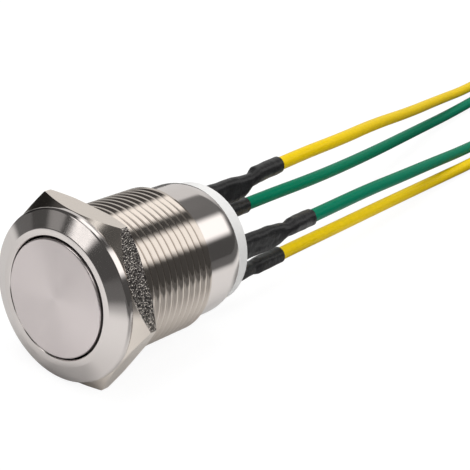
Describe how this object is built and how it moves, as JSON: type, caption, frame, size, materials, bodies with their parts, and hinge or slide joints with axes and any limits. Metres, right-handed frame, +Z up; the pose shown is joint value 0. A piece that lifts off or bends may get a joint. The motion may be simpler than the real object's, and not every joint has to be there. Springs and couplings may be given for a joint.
{
  "type": "anti vandal push button",
  "caption": "Metal panel push button with a flush round cap, threaded barrel, hex nut and four push-on leads in black sleeves.",
  "frame": {"origin": "on the floor under the middle of the button, without its leads", "axes": "+Y along the button's axis from the pressed face to the leads, +Z up, square to the flat of the nut that it lies on"},
  "size_m": [0.0541, 0.2338, 0.025],
  "materials": {
    "polished_metal": "polished, with turning marks",
    "nut_metal": "satin flats, brushed chamfers",
    "satin_metal": "satin, faced on a lathe",
    "black_rubber": "moulded, matte",
    "plain_steel": "plain",
    "bush_brass": "turned",
    "black_plastic": "moulded, matte",
    "white_plastic": "moulded, satin",
    "carrier_plastic": "moulded, matte",
    "contact_brass": "stamped",
    "tinned_brass": "stamped and tinned",
    "shrink_black": "shrunk tube, slightly glossy",
    "lead_yellow": "extruded, satin",
    "lead_green": "extruded, satin",
    "tinned_copper": "tinned strands"
  },
  "bodies": {
    "body": {"housing": "polished_metal", "panel_gasket": "black_rubber", "guide_bush": "bush_brass", "return_spring": "plain_steel", "inner_case": "black_plastic", "rear_base": "white_plastic", "terminal_nc_1": "contact_brass", "receptacle_nc_1": "tinned_brass", "sleeve_nc_1": "shrink_black", "lead_nc_1": "lead_yellow", "tip_nc_1": "tinned_copper", "terminal_no_1": "contact_brass", "receptacle_no_1": "tinned_brass", "sleeve_no_1": "shrink_black", "lead_no_1": "lead_green", "tip_no_1": "tinned_copper", "terminal_nc_2": "contact_brass", "receptacle_nc_2": "tinned_brass", "sleeve_nc_2": "shrink_black", "lead_nc_2": "lead_yellow", "tip_nc_2": "tinned_copper", "terminal_no_2": "contact_brass", "receptacle_no_2": "tinned_brass", "sleeve_no_2": "shrink_black", "lead_no_2": "lead_green", "tip_no_2": "tinned_copper"},
    "button": {"push_cap": "satin_metal", "cap_seal": "black_rubber", "plunger": "plain_steel", "retaining_clip": "plain_steel", "contact_carrier": "carrier_plastic", "bridge_nc": "contact_brass", "bridge_no": "contact_brass"},
    "nut": {"hex_nut": "nut_metal"}
  },
  "joints": [
    {"name": "button_press", "type": "slide", "parent": "body", "child": "button", "axis": [0, 1, 0], "range_m": [0, 0.0025], "stiffness_N_per_m": 1000, "springref_m": -0.002, "deforming": ["return_spring"]},
    {"name": "nut_travel", "type": "slide", "parent": "body", "child": "nut", "axis": [0, 1, 0], "range_m": [0, 0.015]}
  ]
}
